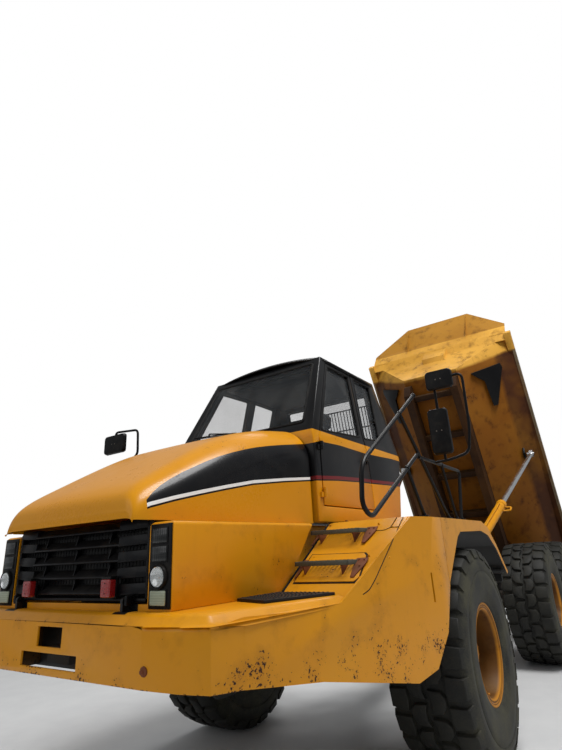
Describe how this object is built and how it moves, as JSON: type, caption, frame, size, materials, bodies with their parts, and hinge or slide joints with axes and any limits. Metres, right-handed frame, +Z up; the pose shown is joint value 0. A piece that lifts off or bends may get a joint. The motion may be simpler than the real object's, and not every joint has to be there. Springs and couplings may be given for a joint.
{
  "type": "articulated dump truck",
  "caption": "Three-axle articulated dump truck with a sloping hood, glazed cab, hinged frame, lugged tyres and a raised dump body on two hoist cylinders.",
  "frame": {"origin": "centre of the bounding box at ground level", "axes": "+X towards the front of the machine, +Y towards its left side, +Z up"},
  "size_m": [11.4742, 3.5895, 6.9502],
  "materials": {
    "body_yellow": "semi-gloss, chalked and scratched",
    "worn_yellow": "worn, rusty patches",
    "rim_yellow": "dusty paint with rust at the flange",
    "cab_black": "semi-gloss black paint",
    "trim_black": "satin black paint",
    "chassis_steel": "dark, oily and dusty",
    "lamp_black": "glossy",
    "lamp_red": "glossy red lens",
    "window_glass": "clear, lightly tinted",
    "seat_cloth": "matt cloth",
    "tyre_rubber": "worn, dusty",
    "rod_chrome": "polished"
  },
  "bodies": {
    "tractor": {"front_frame": "chassis_steel", "frame_brackets": "chassis_steel", "front_axle": "chassis_steel", "engine": "chassis_steel", "bumper": "body_yellow", "fenders": "body_yellow", "lamp_boxes": "body_yellow", "headlamps": "lamp_black", "steps": "trim_black", "cab_shell": "cab_black", "cab_glass": "window_glass", "cab_interior": "seat_cloth", "mirrors": "trim_black", "handrails": "trim_black", "rear_louvre": "trim_black"},
    "hood": {"hood": "body_yellow", "grille": "trim_black", "marker_lamps": "lamp_red"},
    "door": {"cab_door": "cab_black", "door_glass": "window_glass"},
    "hitch": {"hitch": "chassis_steel", "steer_ears": "chassis_steel"},
    "rear_frame": {"rear_frame": "chassis_steel", "middle_axle": "chassis_steel", "rear_axle": "chassis_steel", "walking_beams": "chassis_steel"},
    "bed": {"dump_body": "worn_yellow", "body_beams": "worn_yellow", "body_brackets": "trim_black"},
    "wheel_fl": {"tyre_fl": "tyre_rubber", "rim_fl": "rim_yellow"},
    "wheel_fr": {"tyre_fr": "tyre_rubber", "rim_fr": "rim_yellow"},
    "wheel_ml": {"tyre_ml": "tyre_rubber", "rim_ml": "rim_yellow"},
    "wheel_mr": {"tyre_mr": "tyre_rubber", "rim_mr": "rim_yellow"},
    "wheel_rl": {"tyre_rl": "tyre_rubber", "rim_rl": "rim_yellow"},
    "wheel_rr": {"tyre_rr": "tyre_rubber", "rim_rr": "rim_yellow"},
    "hoist_barrel_left": {"hoist_barrel_left": "body_yellow"},
    "hoist_rod_left": {"hoist_rod_left": "rod_chrome"},
    "steer_barrel_left": {"steer_barrel_left": "body_yellow"},
    "steer_rod_left": {"steer_rod_left": "rod_chrome"},
    "hoist_barrel_right": {"hoist_barrel_right": "body_yellow"},
    "hoist_rod_right": {"hoist_rod_right": "rod_chrome"},
    "steer_barrel_right": {"steer_barrel_right": "body_yellow"},
    "steer_rod_right": {"steer_rod_right": "rod_chrome"}
  },
  "joints": [
    {"name": "steering", "type": "hinge", "parent": "tractor", "child": "hitch", "pos_m": [1.24713, -0.14829, 1.01], "axis": [0, 0, 1], "range_deg": [-45, 45]},
    {"name": "oscillation", "type": "hinge", "parent": "hitch", "child": "rear_frame", "pos_m": [0.64713, -0.14829, 1.01], "axis": [1, 0, 0], "range_deg": [-15, 15]},
    {"name": "bed_tip", "type": "hinge", "parent": "rear_frame", "child": "bed", "pos_m": [-4.14287, -0.14829, 1.42], "axis": [0, -1, 0], "range_deg": [-62, 4]},
    {"name": "hood_tilt", "type": "hinge", "parent": "tractor", "child": "hood", "pos_m": [5.63913, -0.14829, 1.568], "axis": [0, 1, 0], "range_deg": [0, 60]},
    {"name": "door_swing", "type": "hinge", "parent": "tractor", "child": "door", "pos_m": [3.90213, 0.70171, 2.7], "axis": [0, 0, -1], "range_deg": [0, 42]},
    {"name": "wheel_fl_spin", "type": "hinge", "parent": "tractor", "child": "wheel_fl", "pos_m": [2.55713, 1.16171, 0.875], "axis": [0, 1, 0], "continuous": true},
    {"name": "wheel_fr_spin", "type": "hinge", "parent": "tractor", "child": "wheel_fr", "pos_m": [2.55713, -1.45829, 0.875], "axis": [0, 1, 0], "continuous": true},
    {"name": "wheel_ml_spin", "type": "hinge", "parent": "rear_frame", "child": "wheel_ml", "pos_m": [-1.85787, 1.16171, 0.875], "axis": [0, 1, 0], "continuous": true},
    {"name": "wheel_mr_spin", "type": "hinge", "parent": "rear_frame", "child": "wheel_mr", "pos_m": [-1.85787, -1.45829, 0.875], "axis": [0, 1, 0], "continuous": true},
    {"name": "wheel_rl_spin", "type": "hinge", "parent": "rear_frame", "child": "wheel_rl", "pos_m": [-3.82387, 1.16171, 0.875], "axis": [0, 1, 0], "continuous": true},
    {"name": "wheel_rr_spin", "type": "hinge", "parent": "rear_frame", "child": "wheel_rr", "pos_m": [-3.82387, -1.45829, 0.875], "axis": [0, 1, 0], "continuous": true},
    {"name": "hoist_barrel_left_turn", "type": "hinge", "parent": "rear_frame", "child": "hoist_barrel_left", "pos_m": [0.25713, 0.56171, 1.3], "axis": [0.4395, 0.6165, 0.6532], "range_deg": [-14, 3]},
    {"name": "hoist_rod_left_slide", "type": "slide", "parent": "hoist_barrel_left", "child": "hoist_rod_left", "axis": [-0.879, 0.1454, 0.4542], "range_m": [-2.1, 0.3]},
    {"name": "steer_barrel_left_turn", "type": "hinge", "parent": "tractor", "child": "steer_barrel_left", "pos_m": [2.44713, 0.40171, 1.225], "axis": [0, 0, 1], "range_deg": [-12, 12]},
    {"name": "steer_rod_left_slide", "type": "slide", "parent": "steer_barrel_left", "child": "steer_rod_left", "axis": [-0.9963, -0.0863, 0], "range_m": [-0.4, 0.4]},
    {"name": "hoist_barrel_right_turn", "type": "hinge", "parent": "rear_frame", "child": "hoist_barrel_right", "pos_m": [0.25713, -0.85829, 1.3], "axis": [-0.4395, 0.6165, -0.6532], "range_deg": [-14, 3]},
    {"name": "hoist_rod_right_slide", "type": "slide", "parent": "hoist_barrel_right", "child": "hoist_rod_right", "axis": [-0.879, -0.1454, 0.4542], "range_m": [-2.1, 0.3]},
    {"name": "steer_barrel_right_turn", "type": "hinge", "parent": "tractor", "child": "steer_barrel_right", "pos_m": [2.44713, -0.69829, 1.225], "axis": [0, 0, 1], "range_deg": [-12, 12]},
    {"name": "steer_rod_right_slide", "type": "slide", "parent": "steer_barrel_right", "child": "steer_rod_right", "axis": [-0.9963, 0.0863, 0], "range_m": [-0.4, 0.4]}
  ],
  "couplings": [
    {"joint": "hoist_barrel_left_turn", "follows": "bed_tip", "ratio": 0.13303},
    {"joint": "hoist_rod_left_slide", "follows": "bed_tip", "m_per_rad": 1.9388},
    {"joint": "steer_barrel_left_turn", "follows": "steering", "ratio": 0.14583},
    {"joint": "steer_rod_left_slide", "follows": "steering", "m_per_rad": 0.41723},
    {"joint": "hoist_barrel_right_turn", "follows": "bed_tip", "ratio": 0.13303},
    {"joint": "hoist_rod_right_slide", "follows": "bed_tip", "m_per_rad": 1.9388},
    {"joint": "steer_barrel_right_turn", "follows": "steering", "ratio": 0.14583},
    {"joint": "steer_rod_right_slide", "follows": "steering", "m_per_rad": -0.41723}
  ]
}
